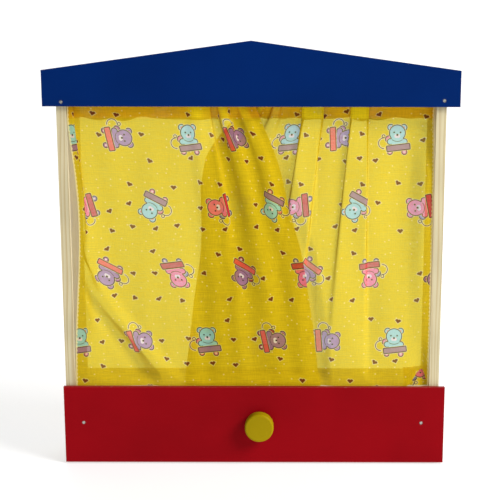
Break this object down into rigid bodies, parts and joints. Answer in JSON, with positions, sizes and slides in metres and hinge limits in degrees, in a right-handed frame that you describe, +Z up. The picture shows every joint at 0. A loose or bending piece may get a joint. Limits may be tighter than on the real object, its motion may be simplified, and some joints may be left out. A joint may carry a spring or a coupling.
{
  "type": "tabletop puppet theatre",
  "caption": "Tabletop wooden puppet theatre: pine case open at the back, blue gable board, yellow printed curtains on dowels and a red drawer with a round knob.",
  "frame": {"origin": "centre of the case's footprint, on the flat underside of the base board, where it stands on the table", "axes": "+Z up, +X to the right as the audience sees it, -Y towards the audience, so the gable, the drawer front and the knob face -Y and the case is open towards +Y"},
  "size_m": [0.416, 0.081, 0.438],
  "materials": {
    "pine": "bare sanded pine with fine straight grain and a few nail heads",
    "plywood": "thin bare birch plywood with visible ply edges",
    "dowel": "bare sanded beech dowel",
    "blue_paint": "wood under an even satin blue paint, slightly worn at the edges",
    "red_paint": "wood under an even satin red paint",
    "yellow_paint": "turned wood under glossy yellow paint",
    "printed_cotton": null,
    "steel": "bright wire nails and a round-headed screw"
  },
  "bodies": {
    "case": {"left_side_board": "pine", "right_side_board": "pine", "top_board": "pine", "stage_floor": "pine", "base_board": "pine", "base_back_panel": "plywood", "gable_board": "blue_paint", "front_curtain_rod": "dowel", "rear_curtain_rod": "dowel", "left_gable_nail": "steel", "right_gable_nail": "steel", "left_top_front_nail": "steel", "left_top_rear_nail": "steel", "left_floor_front_nail": "steel", "left_floor_rear_nail": "steel", "left_base_front_nail": "steel", "left_base_rear_nail": "steel", "right_top_front_nail": "steel", "right_top_rear_nail": "steel", "right_floor_front_nail": "steel", "right_floor_rear_nail": "steel", "right_base_front_nail": "steel", "right_base_rear_nail": "steel", "left_panel_upper_nail": "steel", "left_panel_lower_nail": "steel", "right_panel_upper_nail": "steel", "right_panel_lower_nail": "steel"},
    "drawer": {"drawer_front": "red_paint", "drawer_left_side": "pine", "drawer_right_side": "pine", "drawer_back": "pine", "drawer_bottom": "plywood", "drawer_knob": "yellow_paint", "knob_screw": "steel", "drawer_left_front_nail": "steel", "drawer_left_upper_nail": "steel", "drawer_left_lower_nail": "steel", "drawer_right_front_nail": "steel", "drawer_right_upper_nail": "steel", "drawer_right_lower_nail": "steel"},
    "curtain_left": {"left_curtain": "printed_cotton"},
    "curtain_right": {"right_curtain": "printed_cotton"}
  },
  "joints": [
    {"name": "drawer_slide", "type": "slide", "parent": "case", "child": "drawer", "axis": [0, -1, 0], "range_m": [0, 0.045]},
    {"name": "left_curtain_slide", "type": "slide", "parent": "case", "child": "curtain_left", "axis": [-1, 0, 0], "range_m": [0, 0.13], "deforming": ["left_curtain"]},
    {"name": "right_curtain_slide", "type": "slide", "parent": "case", "child": "curtain_right", "axis": [1, 0, 0], "range_m": [0, 0.17], "deforming": ["right_curtain"]}
  ]
}
